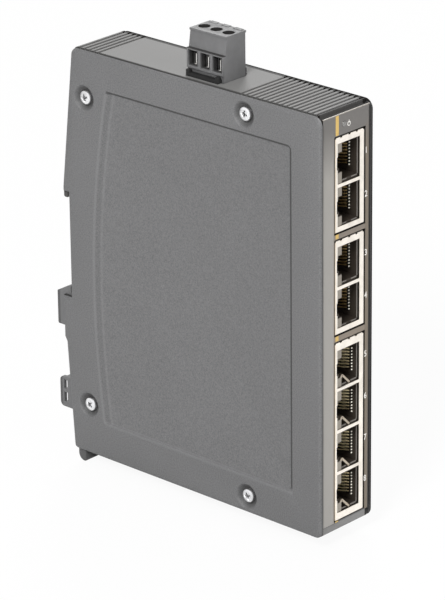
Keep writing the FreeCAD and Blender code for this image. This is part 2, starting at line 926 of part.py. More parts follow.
def plug_corners():
    crown = top_z + plug_top
    under = crown - plug_lip_thick
    ledge = top_z + plug_ledge
    low = top_z - plug_seat
    step = top_z + header_rim + slide_gap / 2.0
    return [
        (plug_left + plug_step, low),
        (plug_left + plug_step, step),
        (plug_left, step),
        (plug_left, ledge),
        (plug_upper_left, ledge),
        (plug_crown_left, under),
        (plug_crown_left - plug_lip, under),
        (plug_crown_left - plug_lip, crown),
        (plug_right + plug_lip, crown),
        (plug_right + plug_lip, under),
        (plug_right, under),
        (plug_right, low),
    ]


def clamp_levels():
    seat = top_z + plug_top - clamp_head_sink - clamp_head_h
    return seat, seat - clamp_ledge


def plug_housing():
    y0, y1 = plug_y_span()
    body = prism("y", y0, y1, plug_corners())
    seat, roof = clamp_levels()
    crown = top_z + plug_top
    chamber_low = top_z + cage_low - 1.1
    low = top_z - plug_seat
    for y in pole_places():
        body = body.cut(bore("z", seat, crown + 1, pole_x, y, clamp_hole_d / 2.0, round_sides))
        throat = clamp_shank_d / 2.0 + slide_gap
        body = body.cut(bore("z", roof - 1, seat + 1, pole_x, y, throat, hidden_sides))
        w = cage_width / 2.0 + cage_gap
        chamber = block(cage_front - 0.3, cage_rear + 1.0, y - w, y + w, chamber_low, roof)
        body = body.cut(chamber)
        v = window_width / 2.0
        window = block(plug_left - 1, cage_front, y - v, y + v, top_z + window_low, top_z + window_high)
        body = body.cut(window)
        socket = block(pole_x - 0.8, pole_x + 1.5, y - 1.2, y + 1.2, low - 1, chamber_low + 1)
        body = body.cut(socket)
    edge = plug_right + plug_lip
    for y in pole_places():
        w = plug_bump_width / 2.0
        bump = block(edge - plug_bump_depth, edge, y - w, y + w, crown - 0.1, crown + plug_bump_height)
        body = body.fuse(bump)
    return body.removeSplitter()


def plug_contacts():
    bar_z = top_z + clamp_bar_height
    turn_x = cage_rear + strip_gap + clamp_strip / 2.0
    under = top_z + cage_low - strip_gap - clamp_strip / 2.0
    side_x = pole_x + pin_side / 2.0 + strip_pin_gap + clamp_strip / 2.0
    line = [
        (cage_front + strip_gap, bar_z),
        (turn_x, bar_z),
        (turn_x, under),
        (side_x, under),
        (side_x, top_z - plug_seat + strip_end),
    ]
    outline = strip_outline(line, clamp_strip)
    w = clamp_bar_width / 2.0
    return [prism("y", y - w, y + w, outline) for y in pole_places()]


def clamp_cage(y):
    w = cage_width / 2.0
    low = top_z + cage_low
    cage = block(cage_front, cage_rear, y - w, y + w, low, low + cage_height)
    inner = w - cage_wall
    hollow_top = low + cage_height - cage_floor
    cage = cage.cut(block(cage_front - 1, cage_rear + 1, y - inner, y + inner, low + cage_floor, hollow_top))
    hole = clamp_shank_d / 2.0 + clamp_bore_gap
    top = low + cage_height + 1
    start = FreeCAD.Vector(pole_x, y, hollow_top - 0.5)
    return cage.cut(Part.makeCylinder(hole, top - hollow_top, start, FreeCAD.Vector(0, 0, 1)))


def clamp_screw(y):
    seat, _ = clamp_levels()
    seat += 0.05
    tip = top_z + clamp_bar_height + clamp_strip / 2.0 + 0.1
    head = pin("z", seat, seat + clamp_head_h, pole_x, y, clamp_head_d / 2.0, round_sides)
    along = FreeCAD.Vector(0, 0, 1)
    shank = Part.makeCylinder(clamp_shank_d / 2.0, seat - tip, FreeCAD.Vector(pole_x, y, tip), along)
    top = seat + clamp_head_h
    side = clamp_slot_width / 2.0
    reach = clamp_head_d
    slot = block(pole_x - reach, pole_x + reach, y - side, y + side, top - clamp_slot_depth, top + 1)
    return head.fuse(shank).cut(slot).removeSplitter()


# Rail latch and its return spring.
def latch_span():
    front = -latch_channel + slide_gap
    return front, front + latch_plate


def din_latch():
    x1 = inner_x - slide_gap
    front, back = latch_span()
    lip = -rail_half + latch_lip
    foot = bottom_z - latch_foot_drop
    slot = rail_sheet + rail_play
    corners = [
        (front, foot, 0.6),
        (front, shelf_z, 0.0),
        (slot, shelf_z, 0.0),
        (slot, lip, 0.3),
        (slot + latch_lip_thick, lip, 0.4),
        (latch_nose_out, lip - latch_ramp_drop, 0.5),
        (latch_nose_out, nose_low, 0.5),
        (back, nose_low, 0.0),
        (back, foot, latch_foot_corner),
    ]
    latch = prism("x", -x1, x1, corners)
    w = x1 - latch_core_wall
    core_out = latch_nose_out - latch_nose_wall
    core_top = shelf_z - latch_shelf_thick
    core = block(-w, w, back + latch_core_wall, core_out, nose_low - 1, core_top)
    latch = latch.cut(core)
    low = flange_low
    high = flange_high
    r = latch_flange_corner
    flange = [(back - 0.5, low), (back - 0.5, high), (latch_flange_out, high, r), (latch_flange_out, low, r)]
    for x in (-x1, x1 - latch_flange):
        side = prism("x", x, x + latch_flange, flange)
        y1 = latch_flange_out - latch_window_inset
        top_window = high - 0.8
        for i in range(2):
            z1 = top_window - i * (latch_window + latch_window_gap)
            hole = block(x - 1, x + latch_flange + 1, y1 - latch_window_depth, y1, z1 - latch_window, z1)
            side = side.cut(hole)
        latch = latch.fuse(side)
    bridge = block(-x1 + 0.1, x1 - 0.1, back - 0.5, latch_flange_out - 2.0, high - latch_flange, high)
    latch = latch.fuse(bridge)
    w = spring_d / 2.0 + spring_slot_gap
    latch = latch.cut(block(-w, w, front - 1, back + 1, peg_low - fit_gap, spring_top))
    eye = driver_eye_width / 2.0
    eye_low = bottom_z - latch_foot_drop + 1.4
    latch = latch.cut(block(-eye, eye, front - 1, back + 1, eye_low, eye_low + driver_eye_height))
    return latch.removeSplitter()


def latch_spring():
    low = peg_low + spring_peg_thick + 0.1 + spring_wire / 2.0
    height = spring_length + 0.2 - spring_wire
    radius = (spring_d - spring_wire) / 2.0
    front, back = latch_span()
    middle = (front + back) / 2.0
    steps = spring_turns * spring_steps
    rings = []
    for i in range(steps + 1):
        turn = 2.0 * math.pi * i / spring_steps
        ring = []
        for k in range(spring_sides):
            around = 2.0 * math.pi * k / spring_sides
            reach = radius + spring_wire / 2.0 * math.cos(around)
            z = low + height * i / steps + spring_wire / 2.0 * math.sin(around)
            ring.append(FreeCAD.Vector(reach * math.cos(turn), middle + reach * math.sin(turn), z))
        rings.append(ring)
    faces = [Part.Face(Part.makePolygon(r + r[:1])) for r in (rings[0], rings[-1])]
    for a, b in zip(rings, rings[1:]):
        for k in range(spring_sides):
            j = (k + 1) % spring_sides
            for corner in ([a[k], a[j], b[j]], [a[k], b[j], b[k]]):
                faces.append(Part.Face(Part.makePolygon(corner + corner[:1])))
    wire = Part.Solid(Part.Shell(faces))
    if wire.Volume < 0:
        wire.reverse()
    return wire


save("left_cover", [left_cover()])
save("right_cover", [mirrored(left_cover())])
save("case_ring", [case_ring()])
save("front_label", [front_label()])
for number in range(len(ports_in_gang)):
    save("jack_shield_%d" % (number + 1), [jack_shield(number)])
    save("jack_body_%d" % (number + 1), [jack_body(number)])
    save("jack_contacts_%d" % (number + 1), jack_contacts(number))
save("left_cover_screws", cover_screws())
save("right_cover_screws", [mirrored(s) for s in cover_screws()])
save("circuit_board", [circuit_board()])
save("board_screws", board_screws())
save("switch_chip", [switch_chip()])
for number, height in enumerate(magnetic_places()):
    save("magnetics_%d" % (number + 1), [magnetics(height)])
save("crystal", [board_part(crystal_size, crystal_y, crystal_z)])
save("inductor", [inductor()])
save("regulator", [board_part(regulator_size, regulator_y, regulator_z)])
save("fuse", [board_part(fuse_size, fuse_y, fuse_z)])
for number, place_y in enumerate(capacitor_y):
    save("capacitor_%d" % (number + 1), [capacitor(place_y)])
save("power_led", [power_led()])
save("light_pipe", [light_pipe()])
save("terminal_header", [terminal_header()])
save("header_pins", header_pins())
save("plug_housing", [plug_housing()])
save("plug_contacts", plug_contacts())
for number, place_y in enumerate(pole_places()):
    save("clamp_cage_%d" % (number + 1), [clamp_cage(place_y)])
    save("clamp_screw_%d" % (number + 1), [clamp_screw(place_y)])
save("din_latch", [din_latch()])
save("latch_spring", [latch_spring()])
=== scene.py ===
import json
import math

import bmesh
import bpy
from mathutils import Matrix, Vector


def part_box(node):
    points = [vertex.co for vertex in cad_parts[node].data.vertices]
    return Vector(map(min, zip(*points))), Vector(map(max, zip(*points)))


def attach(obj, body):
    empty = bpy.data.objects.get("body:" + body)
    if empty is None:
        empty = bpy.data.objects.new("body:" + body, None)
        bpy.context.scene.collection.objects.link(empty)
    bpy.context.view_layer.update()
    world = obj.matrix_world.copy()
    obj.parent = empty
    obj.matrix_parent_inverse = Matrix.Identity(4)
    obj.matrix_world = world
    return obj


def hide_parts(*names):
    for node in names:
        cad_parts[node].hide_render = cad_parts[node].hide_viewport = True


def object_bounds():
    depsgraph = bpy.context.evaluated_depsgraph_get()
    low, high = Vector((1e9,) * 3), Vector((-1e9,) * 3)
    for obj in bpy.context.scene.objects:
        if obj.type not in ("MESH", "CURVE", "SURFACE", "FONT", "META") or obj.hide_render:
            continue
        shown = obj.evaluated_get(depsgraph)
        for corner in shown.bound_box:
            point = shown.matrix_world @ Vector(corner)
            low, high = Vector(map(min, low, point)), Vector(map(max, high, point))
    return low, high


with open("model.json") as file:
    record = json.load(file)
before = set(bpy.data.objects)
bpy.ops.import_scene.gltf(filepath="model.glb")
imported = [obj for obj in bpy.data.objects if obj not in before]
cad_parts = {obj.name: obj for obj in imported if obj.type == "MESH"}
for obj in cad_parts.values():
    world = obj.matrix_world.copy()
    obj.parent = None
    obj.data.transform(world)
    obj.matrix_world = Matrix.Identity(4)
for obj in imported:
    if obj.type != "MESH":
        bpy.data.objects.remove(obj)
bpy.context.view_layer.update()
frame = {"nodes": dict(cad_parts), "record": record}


# The side covers.
# Two moulded covers in dark grey plastic close the case left and right. Their outer skin has a
# fine spark-eroded grain and a slightly recessed field, and their outlines are softly rounded.
class Tone:
    """One socket of a finish; arithmetic on it adds Math nodes to the same finish."""

    def __init__(self, tree, socket=None):
        self.tree = tree
        self.socket = socket

    def node(self, kind, settings=None, inputs=None, output=0):
        made = self.tree.nodes.new(kind)
        for key, value in (settings or {}).items():
            setattr(made, key, value)
        for key, value in (inputs or {}).items():
            if isinstance(value, Tone):
                self.tree.links.new(value.socket, made.inputs[key])
            else:
                made.inputs[key].default_value = value
        return Tone(self.tree, made.outputs[output] if len(made.outputs) else None)

    def reckon(self, operation, first, second=0.0):
        return self.node("ShaderNodeMath", {"operation": operation}, {0: first, 1: second})

    def __add__(self, other):
        return self.reckon("ADD", self, other)

    def __sub__(self, other):
        return self.reckon("SUBTRACT", self, other)

    def __rsub__(self, other):
        return self.reckon("SUBTRACT", other, self)

    def __mul__(self, other):
        return self.reckon("MULTIPLY", self, other)

    def __truediv__(self, other):
        return self.reckon("DIVIDE", self, other)

    __radd__ = __add__

    def root(self):
        return self.reckon("SQRT", self)

    def unsigned(self):
        return self.reckon("ABSOLUTE", self)

    def least(self, other):
        return self.reckon("MINIMUM", self, other)

    def most(self, other):
        return self.reckon("MAXIMUM", self, other)

    def band(self, middle, half, soft):
        """1 within half of the middle, falling to 0 over the soft margin."""
        return (half + soft - (self - middle).unsigned()).ramp(0.0, soft)

    def held(self):
        """The tone kept between 0 and 1."""
        return self.node("ShaderNodeClamp", {}, {"Value": self})

    def ramp(self, low, high):
        """0 up to low, 1 from high on, and even between them."""
        limits = {"Value": self, "From Min": low, "From Max": high}
        return self.node("ShaderNodeMapRange", {"clamp": True}, limits)

    def blend(self, first, second):
        """A colour from first to second as this tone goes from 0 to 1."""
        shades = [x if isinstance(x, Tone) else tuple(x) + (1.0,) for x in (first, second)]
        return self.node(
            "ShaderNodeMix", {"data_type": "RGBA"}, {0: self, 6: shades[0], 7: shades[1]}, 2
        )


def new_finish(name):
    """A new material, a tone to build its nodes with, and the place on the piece."""
    finish = bpy.data.materials.new(name)
    finish.use_nodes = True
    finish.node_tree.nodes.clear()
    tone = Tone(finish.node_tree)
    place = tone.node("ShaderNodeTexCoord", output=3)
    return finish, tone, place


def axes_of(tone, place):
    """The place's three distances from the origin, as tones."""
    parts = tone.node("ShaderNodeSeparateXYZ", {}, {"Vector": place})
    return [Tone(tone.tree, parts.socket.node.outputs[n]) for n in range(3)]


def close_finish(tone, inputs):
    shader = tone.node("ShaderNodeBsdfPrincipled", {}, inputs)
    tone.node("ShaderNodeOutputMaterial", {}, {"Surface": shader})


def grain(tone, place, scale, detail=2.0, rough=0.5):
    """A fine or cloudy noise over the piece."""
    inputs = {"Vector": place, "Scale": scale, "Detail": detail, "Roughness": rough}
    return tone.node("ShaderNodeTexNoise", {}, inputs)


def worn_edge(tone, reach):
    """Goes from 0 on a flat face to 1 on an outer or inner edge."""
    rounded = tone.node("ShaderNodeBevel", {"samples": 4}, {"Radius": reach})
    flat = tone.node("ShaderNodeNewGeometry", output=1)
    facing = tone.node(
        "ShaderNodeVectorMath", {"operation": "DOT_PRODUCT"}, {0: rounded, 1: flat}, 1
    )
    return (1.0 - facing).ramp(0.02, 0.25)


def relief(tone, height, strength, distance):
    """The small bumps that the height makes, up to the distance."""
    inputs = {"Height": height, "Strength": strength, "Distance": distance}
    return tone.node("ShaderNodeBump", {}, inputs)


# The near black of painted shade, for the masks that darken recesses, gaps and edges turned from
# the light.
painted_shade_colour = (0.012, 0.011, 0.01)


def moulded_plastic(
    name, shade, worn, rough, grain_size, bump, painted_shade, contrast=0.9, painted_highlight=None, gloss=0.35
):
    """Grained plastic: edges rub to the worn colour, which also paints highlights where the
    highlight mask says, and painted shade in near black sits where the shade mask says.
    """
    finish, tone, place = new_finish(name)
    fine = grain(tone, place, 1.0 / grain_size, 3.0, 0.6)
    cloud = grain(tone, place, 60.0, 2.0)
    rubbed = worn_edge(tone, 0.0004) * cloud.ramp(0.35, 0.7) * 0.5
    spread = ((fine - 0.5) * contrast + (cloud - 0.5) * 0.12 + 0.5).held()
    dark = tuple(x * 0.62 for x in shade)
    light = tuple(min(1.0, x * 1.38) for x in shade)
    grained = rubbed.blend(spread.blend(dark, light), worn)
    if painted_highlight:
        # Painted highlight: the mask lightens the colour to the worn grey.
        grained = painted_highlight(*axes_of(tone, place)).blend(grained, worn)
    # Painted shade: the colour goes to near black where the shade mask says.
    colour = painted_shade(*axes_of(tone, place)).blend(grained, painted_shade_colour)
    close_finish(tone, {
        "Base Color": colour,
        "Specular IOR Level": gloss,
        "Roughness": (rough + (fine - 0.5) * 0.2 - rubbed * 0.12).held(),
        "Normal": relief(tone, fine, bump, 0.00006),
    })
    return finish


def alone(piece):
    """Leaves the piece selected and active, alone and in object mode."""
    if bpy.context.object and bpy.context.object.mode == "EDIT":
        bpy.ops.object.mode_set(mode="OBJECT")
    bpy.ops.object.select_all(action="DESELECT")
    piece.select_set(True)
    bpy.context.view_layer.objects.active = piece


def finished(piece, finish, body):
    """Gives the piece its only finish and lets it ride on the body."""
    piece.data.materials.clear()
    piece.data.materials.append(finish)
    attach(piece, body)


def bevelled(piece, edge, segments=2, smooth=32.0):
    """Rounds the sharp edges by the given width and smooths what meets at less than smooth."""
    alone(piece)
    if edge:
        bevel = piece.modifiers.new("edges", "BEVEL")
        bevel.width = edge
        bevel.segments = segments
        bevel.limit_method = "ANGLE"
        bevel.angle_limit = math.radians(35.0)
        bevel.use_clamp_overlap = True
        bevel.miter_outer = "MITER_ARC"
        bpy.ops.object.modifier_apply(modifier=bevel.name)
    bpy.ops.object.shade_smooth_by_angle(angle=math.radians(smooth))
    return piece


def merged_copy(node, name):
    """The node's solid as one clean shell, ready to be dressed."""
    piece = bpy.data.objects.new(name, frame["nodes"][node].data.copy())
    bpy.context.scene.collection.objects.link(piece)
    alone(piece)
    bpy.ops.mesh.customdata_custom_splitnormals_clear()
    bpy.ops.object.mode_set(mode="EDIT")
    bpy.ops.mesh.select_all(action="SELECT")
    bpy.ops.mesh.remove_doubles(threshold=0.000002)
    bpy.ops.mesh.dissolve_limited(angle_limit=math.radians(0.6))
    bpy.ops.object.mode_set(mode="OBJECT")
    return piece


def middles_of(groups):
    """The middle of each group of points, along and up the cover."""
    middles = []
    for points in groups.values():
        y = (min(v.y for v in points) + max(v.y for v in points)) / 2.0
        z = (min(v.z for v in points) + max(v.z for v in points)) / 2.0
        middles.append((y, z))
    return middles


cover_grey = (0.148, 0.148, 0.15)
# The worn grey of rubbed edges, which also paints the highlights of the field.
cover_wear_and_highlight = (0.27, 0.27, 0.275)
cover_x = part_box("right_cover")[1].x
cover_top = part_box("left_cover")[1].z
cover_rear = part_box("left_cover")[1].y
cover_lip_x = 0.0114
cover_rim_y = -0.1064
rear_fade = 0.0011
crest_height = 0.0011
dish_radius, dish_floor_radius = 0.0042, 0.0032

head_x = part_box("right_cover_screws")[1].x
head_height = 0.001
screw_groups = {}
for vertex in frame["nodes"]["right_cover_screws"].data.vertices:
    if vertex.co.x > head_x - head_height:
        corner = (vertex.co.y < -0.05, vertex.co.z > 0.0)
        screw_groups.setdefault(corner, []).append(vertex.co)
screw_places = middles_of(screw_groups)

# The field's outline: three straight sides and an arc through three points at the rear.
field_low, field_high, field_front = -0.058, 0.0555, -0.0949
field_corner = 0.0016
field_wall = 0.0009
field_arc = [(-0.0184, field_high), (-0.0114, -0.00125), (-0.0145, field_low)]


def circle_through(a, b, c):
    """The centre and the radius of the circle through three points."""
    first, second = b - a, c - a
    scale = 2.0 * (first.x * second.y - first.y * second.x)
    y = (second.y * first.length_squared - first.y * second.length_squared) / scale
    z = (first.x * second.length_squared - second.x * first.length_squared) / scale
    return a.x + y, a.y + z, math.hypot(y, z)


field_y, field_z, field_radius = circle_through(*map(Vector, field_arc))


def far_from(along, height, y, z):
    """The distance of a place from an axis, in the two measures that are square to the axis."""
    return ((along - y) * (along - y) + (height - z) * (height - z)).root()


def from_screws(along, height):
    """The distance of a place from the nearest screw's axis."""
    nearest = far_from(along, height, *screw_places[0])
    for y, z in screw_places[1:]:
        nearest = nearest.least(far_from(along, height, y, z))
    return nearest


def outside_skin(across):
    """1 on the outer faces of the covers and 0 on all that lies further in."""
    return (across.unsigned() - cover_x + 0.0012).ramp(-0.0002, 0.0)


def field_marks(across, along, height):
    """The field's span in height, its rear reach and its front reach, as tones."""
    span = height.band((field_low + field_high) / 2.0, (field_high - field_low) / 2.0, 0.0002)
    rear = far_from(along, height, field_y, field_z) - field_radius
    return span, rear, along - field_front


def field_edge(along, height):
    """The shade under the front and top edges of the field, round their corners too."""
    ahead = (field_front + field_corner - along).most(0.0)
    above = (height - field_high + field_corner).most(0.0)
    below = (field_low + field_corner - height).most(0.0)
    upright = above + below
    out = (ahead * ahead + upright * upright).root() - field_corner
    fore = (ahead / field_corner).held()
    reach = fore * field_wall + field_wall
    shade = (out + reach).ramp(0.0, 0.0003) * (0.0002 - out).ramp(0.0, 0.0001)
    return shade * (fore * 0.25 + 0.6) * (height - field_low - 0.0004).ramp(0.0, 0.0012)


def field_highlights(across, along, height):
    """Painted highlights on the rounded crest and the foot of the field's rear slope and along the
    field's lower edge, lighter than the skin.
    """
    span, rear, front = field_marks(across, along, height)
    crest = rear.band(0.0001, 0.0002, 0.0006) * 0.25 + rear.band(-0.0026, 0.0002, 0.0005) * 0.2
    within = (rear * -1.0).ramp(-0.0003, 0.0) * front.ramp(-0.0003, 0.0)
    low = height.band(field_low, 0.0004, 0.0006) * within * 0.22
    return (crest * span + low).held() * outside_skin(across)


def cover_shade_marks(across, along, height):
    """Painted shade on the inner lips of the covers, on the rims that face away from the light,
    along the top of the right cover inside its outer face, in the screw dishes, at the foot of the
    field's rear slope, along the rear edge and under the field's front and top edges.
    """
    reach = from_screws(along, height)
    inner = (cover_lip_x - across.unsigned()).ramp(-0.0001, 0.0001)
    inner = inner * (reach - dish_radius - 0.0001).ramp(0.0, 0.0002)
    rim = (cover_rim_y - along).ramp(-0.0002, 0.0002)
    right = across.ramp(0.0, 0.001)
    top = (cover_x - 0.0003 - across).ramp(-0.0001, 0.0001) * right
    crest = (height - cover_top + crest_height).ramp(-0.0001, 0.0001) * top
    dish = (dish_radius - reach).ramp(0.0, 0.0008) * 0.45
    dish_floor = (dish_floor_radius - reach).ramp(0.0, 0.0006) * 0.3
    span, rear, _ = field_marks(across, along, height)
    within = (rear * -1.0).ramp(-0.0003, 0.0)
    foot = rear.band(-0.0013, 0.0007, 0.0005) * 0.08
    tail = (along - cover_rear + rear_fade).ramp(0.0, rear_fade) * 0.35
    marks = (foot * span + tail + field_edge(along, height) * within) * outside_skin(across)
    shades = inner * 0.9 + rim * (right * 0.75 + 0.3) + crest + dish + dish_floor + marks
    return shades.held()


cover_skin = moulded_plastic(
    "cover_skin", cover_grey, cover_wear_and_highlight, 0.55, 0.00042, 0.45, cover_shade_marks, 1.7, field_highlights
)
for side in ("left_cover", "right_cover"):
    cover = bevelled(merged_copy(side, side + "_skin"), 0.00028)
    for vertex in cover.data.vertices:
        vertex.co.x = max(-cover_x, min(cover_x, vertex.co.x))
    finished(cover, cover_skin, "case")
    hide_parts(side)


# The cover screws.
# Eight plated steel screws with domed heads and a cross recess sit in dishes in the covers.
# Each is turned as one piece and its recess is struck in.
def plated_metal(name, shade, rough, streak, dull=0.7, shaded=None, shade_on_sides=False):
    """Plated metal with fine turning or rolling marks, with painted shade where shaded says and on
    the faces that look up or down.
    """
    finish, tone, place = new_finish(name)
    stretched = tone.node("ShaderNodeMapping", {}, {"Vector": place, "Scale": streak})
    lines = grain(tone, stretched, 1.0, 3.0)
    cloud = grain(tone, place, 260.0, 2.0)
    rubbed = worn_edge(tone, 0.00015)
    spots = (cloud.ramp(0.35, 0.75) * 0.6 + (lines - 0.5) * 0.3).held()
    colour = spots.blend(shade, tuple(x * dull for x in shade))
    # Painted shade: near black where the mask says and on the faces that look up or down.
    if shaded:
        colour = shaded(*axes_of(tone, place)).blend(colour, (0.03, 0.03, 0.03))
    if shade_on_sides:
        facing = axes_of(tone, tone.node("ShaderNodeNewGeometry", output=1))[2]
        colour = facing.unsigned().ramp(0.5, 0.7).blend(colour, (0.03, 0.025, 0.02))
    close_finish(tone, {
        "Base Color": colour,
        "Metallic": 1.0,
        "Roughness": (rough + (cloud - 0.5) * 0.25 + (lines - 0.5) * 0.15 - rubbed * 0.1).held(),
        "Normal": relief(tone, lines, 0.2, 0.00002),
    })
    return finish


def named(name):
    """The piece made last, under its own name."""
    piece = bpy.context.object
    piece.name = name
    piece.data.name = name
    return piece


def applied(piece):
    """Puts the piece's placing into its mesh."""
    alone(piece)
    bpy.ops.object.transform_apply(location=True, rotation=True, scale=True)
    return piece


def turned(name, rings, sides=32):
    """A turned piece along Z: rings are pairs of height and radius, from its lower end up."""
    bpy.ops.object.select_all(action="DESELECT")
    low, radius = rings[0]
    bpy.ops.mesh.primitive_circle_add(
        vertices=sides, radius=radius, fill_type="NGON", location=(0.0, 0.0, low)
    )
    piece = applied(named(name))
    bpy.ops.object.mode_set(mode="EDIT")
    bpy.ops.mesh.select_all(action="SELECT")
    for height, wide in rings[1:]:
        step = {"value": (0.0, 0.0, height - low)}
        bpy.ops.mesh.extrude_region_move(TRANSFORM_OT_translate=step)
        grow = wide / radius
        bpy.ops.transform.resize(value=(grow, grow, 1.0))
        low, radius = height, wide
    bpy.ops.mesh.select_all(action="SELECT")
    bpy.ops.mesh.normals_make_consistent(inside=False)
    bpy.ops.object.mode_set(mode="OBJECT")
    return piece


def bar(name, low, high, taper=1.0):
    """A block between two corners, whose lower end is drawn in by the taper."""
    bpy.ops.object.select_all(action="DESELECT")
    middle = [(a + b) / 2.0 for a, b in zip(low, high)]
    size = [b - a for a, b in zip(low, high)]
    bpy.ops.mesh.primitive_cube_add(size=1.0, location=middle, scale=size)
    piece = applied(named(name))
    if taper != 1.0:
        bpy.ops.object.mode_set(mode="EDIT")
        bpy.ops.mesh.select_mode(type="FACE")
        bpy.ops.mesh.select_all(action="DESELECT")
        shell = bmesh.from_edit_mesh(piece.data)
        for face in shell.faces:
            if face.normal.z < -0.5:
                face.select = True
        bmesh.update_edit_mesh(piece.data)
        bpy.ops.transform.resize(value=(taper, taper, 1.0))
        bpy.ops.object.mode_set(mode="OBJECT")
    return piece


def cut_out(piece, tool):
    """Takes the tool's shape out of the piece and removes the tool."""
    alone(piece)
    cut = piece.modifiers.new("cut", "BOOLEAN")
    cut.operation = "DIFFERENCE"
    cut.solver = "EXACT"
    cut.object = tool
    bpy.ops.object.modifier_apply(modifier=cut.name)
    bpy.data.objects.remove(tool)


def joined(pieces, name):
    """All the pieces as one."""
    alone(pieces[0])
    for piece in pieces:
        piece.select_set(True)
    bpy.ops.object.join()
    whole = bpy.context.object
    whole.name = name
    return whole


def moved_copy(piece, name, matrix):
    """A copy with its own mesh, carried to its place."""
    twin = bpy.data.objects.new(name, piece.data.copy())
    twin.data.transform(matrix)
    bpy.context.scene.collection.objects.link(twin)
    return twin


head_seat = head_x - 0.0014
recess_height = 0.00092
recess_radius = 0.0016
head_rim_radius = 0.00225
# Height above the seat and radius of each ring, from the shank's end to the crown of the head.
head_rings = [
    (-0.0066, 0.0007), (-0.0058, 0.00125), (-0.0001, 0.00125), (0.0, 0.0022),
    (0.0006, 0.0023), (0.00095, 0.0021), (0.0012, 0.0016), (0.0013, 0.001), (0.00134, 0.0003),
]
blade_low, blade_high = (-0.0014, -0.00034, 0.0002), (0.0014, 0.00034, 0.0016)
blade_taper = 0.55
point_rings = [(-0.0004, 0.0001), (0.0005, 0.0006), (0.0016, 0.0008)]


def recess_shade(across, along, height):
    """Painted shade in the struck recess and round the rim of each head."""
    reach = from_screws(along, height)
    depth = head_seat + recess_height - across.unsigned()
    recess = depth.ramp(-0.00006, 0.00006) * (recess_radius - reach).ramp(0.0, 0.0001)
    return (recess * 0.6 + (reach - head_rim_radius).ramp(0.0, 0.00015) * 0.6).held()


turning = (900.0, 900.0, 9000.0)
screw_steel = plated_metal("screw_steel", (0.8, 0.8, 0.81), 0.38, turning)
head_steel = plated_metal("head_steel", (0.93, 0.93, 0.94), 0.34, turning, 0.6, recess_shade)
cover_screw = turned("cover_screw", head_rings)
for turn in (0.0, 90.0):
    blade = bar("driver_blade", blade_low, blade_high, blade_taper)
    blade.data.transform(Matrix.Rotation(math.radians(turn), 4, "Z"))
    cut_out(cover_screw, blade)
cut_out(cover_screw, turned("driver_point", point_rings, 12))
bevelled(cover_screw, 0.00005, 1)
for side, sign in (("left_cover_screws", -1.0), ("right_cover_screws", 1.0)):
    heads = []
    outward = Matrix.Rotation(math.radians(90.0 * sign), 4, "Y")
    for number, (y, z) in enumerate(screw_places):
        lie = Matrix.Translation((sign * head_seat, y, z)) @ outward
        spin = Matrix.Rotation(math.radians(20.0 + 31.0 * number), 4, "Z")
        heads.append(moved_copy(cover_screw, "head", lie @ spin))
    screws = joined(heads, side + "_dressed")
    finished(screws, head_steel, "case")
    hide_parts(side)
bpy.data.objects.remove(cover_screw)


# The moulded ring.
# One piece of the same grey plastic makes the top, bottom, front and rail side. Cooling ribs are
# moulded across its top and bottom, smoother on their crests than the covers.
ring_grey = (0.228, 0.226, 0.222)
ring_worn = (0.3, 0.3, 0.3)
ring_front_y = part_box("case_ring")[0].y
front_plate = 0.0022
front_step_z = 0.06
sockets_top, sockets_foot = 0.062, -0.068
left_joint_x, right_joint_x = -0.0102, 0.0094


def ring_shade_marks(across, along, height):
    """Painted shade along the joints with the covers, on the step at the front's top and in the
    gaps round the sockets.
    """
    left = (left_joint_x - across).ramp(-0.0001, 0.0001)
    joint = left * 0.7 + (across - right_joint_x).ramp(-0.0001, 0.0001)
    front = (ring_front_y + front_plate - along).ramp(-0.0001, 0.0001)
    step = front * (height - front_step_z).ramp(0.0, 0.001) * 0.75
    below = (sockets_top - height).ramp(0.0, 0.001)
    gaps = front * below * (height - sockets_foot).ramp(0.0, 0.001)
    return (joint * 0.95 + step + gaps).held()


ring_skin = moulded_plastic(
    "ring_skin", ring_grey, ring_worn, 0.5, 0.0003, 0.2, ring_shade_marks, 0.5, gloss=0.12
)
ring = bevelled(merged_copy("case_ring", "case_ring_skin"), 0.00012, 1)
finished(ring, ring_skin, "case")
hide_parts("case_ring")


# The front foil.
# A satin printed foil is stuck in the recess of the front. It carries a thin gold stripe, the
# numbers of the sockets and the mark beside the supply lamp.
foil_low, foil_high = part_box("front_label")


def foil_print(name):
    """The satin print: a light strip at the left, a warm field and a brown strip beside the
    numbers. The black right border, where the foil meets the right cover, is painted shade, its
    cut sides are darkened as painted shade and a painted highlight runs along its top edge.
    """
    finish, tone, place = new_finish(name)
    across, along, height = axes_of(tone, place)
    strip = (-0.0058 - across).ramp(-0.0004, 0.0004) * (sockets_top - height).ramp(0.0, 0.016)
    fine = grain(tone, place, 2600.0, 2.0)
    cloud = grain(tone, place, 90.0, 2.0)
    warm = (0.05 - height).ramp(0.0, 0.03)
    field = warm.blend((0.138, 0.13, 0.122), (0.21, 0.174, 0.137))
    side = (across - 0.0083).ramp(0.0, 0.0003) * (sockets_top - height).ramp(0.0, 0.01)
    # Painted shade: the black right border where the foil meets the right cover.
    border = (across - 0.01).ramp(0.0, 0.0003)
    face = side.blend(strip.blend(field, (0.305, 0.292, 0.272)), (0.165, 0.135, 0.1))
    face = border.blend(face, (0.012, 0.01, 0.008))
    # Painted shade on the foil's cut sides and a painted highlight along its top edge.
    edge = (along - foil_low.y - 0.00008).ramp(0.0, 0.00004)
    crown = (height - foil_high.z + 0.0002).ramp(-0.00005, 0.00005)
    colour = crown.blend(edge.blend(face, (0.02, 0.018, 0.015)), (0.34, 0.31, 0.27))
    marks = ((fine - 0.5) * 0.25 + (cloud - 0.5) * 0.3).held()
    close_finish(tone, {
        "Base Color": marks.blend(colour, (0.1, 0.098, 0.095)),
        "Roughness": (0.36 + (cloud - 0.5) * 0.2).held(),
        "Normal": relief(tone, fine, 0.08, 0.00003),
    })
    return finish


